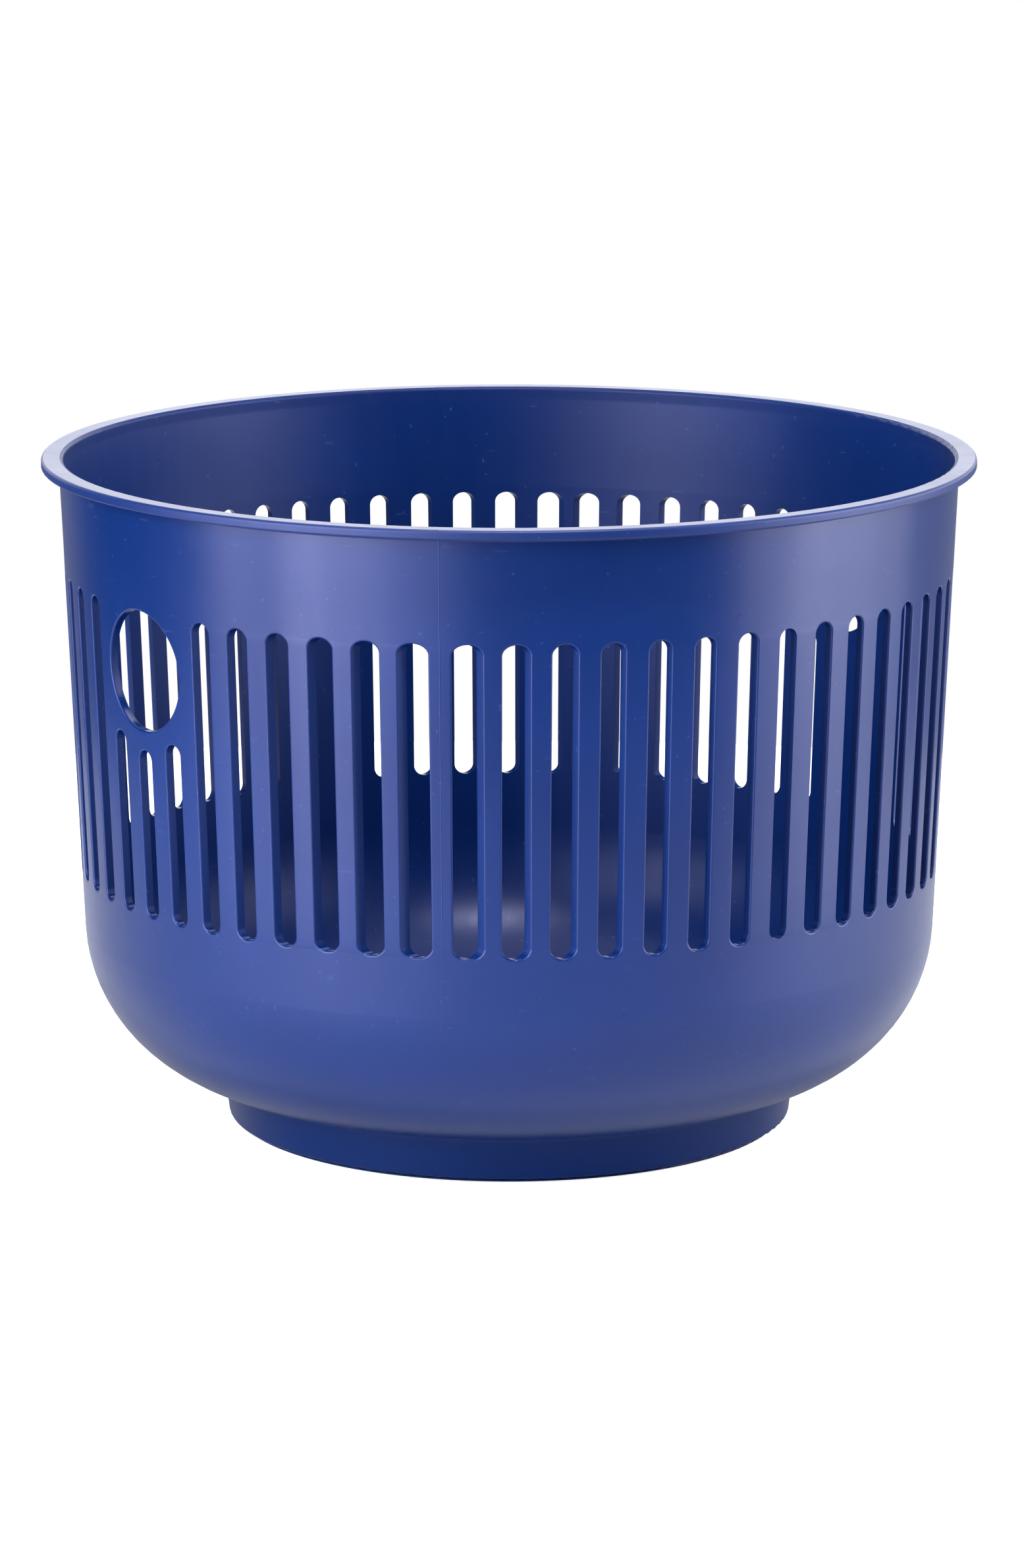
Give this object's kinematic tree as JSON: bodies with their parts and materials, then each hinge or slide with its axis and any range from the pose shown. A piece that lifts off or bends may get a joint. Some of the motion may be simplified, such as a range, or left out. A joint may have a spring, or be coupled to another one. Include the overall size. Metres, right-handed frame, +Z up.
{
  "type": "salad spinner",
  "caption": "Round slotted drum of a salad spinner with a rim flange and finger holes, turning on a low round base hidden in its foot.",
  "frame": {"origin": "on the table, under the middle of the drum", "axes": "+Z up along the drum's axis; the two finger holes face -Y and +Y"},
  "size_m": [0.26, 0.26, 0.1892],
  "materials": {
    "blue_plastic": "satin, fine-textured outside and polished inside",
    "soft_grip": "matt",
    "acetal": "smooth, slightly waxy",
    "stainless": "turned"
  },
  "bodies": {
    "base": {"base_plate": "blue_plastic", "grip_ring": "soft_grip", "spindle_bolt": "stainless", "thrust_washer": "acetal", "top_washer": "stainless", "lock_nut": "stainless", "glide_pad_1": "acetal", "glide_pad_2": "acetal", "glide_pad_3": "acetal", "glide_pad_4": "acetal", "glide_pad_5": "acetal", "glide_pad_6": "acetal"},
    "drum": {"basket": "blue_plastic", "hub_bush": "acetal", "hub_cap": "blue_plastic"}
  },
  "joints": [
    {"name": "drum_spin", "type": "hinge", "parent": "base", "child": "drum", "pos_m": [0, 0, 0.01], "axis": [0, 0, 1], "continuous": true}
  ]
}
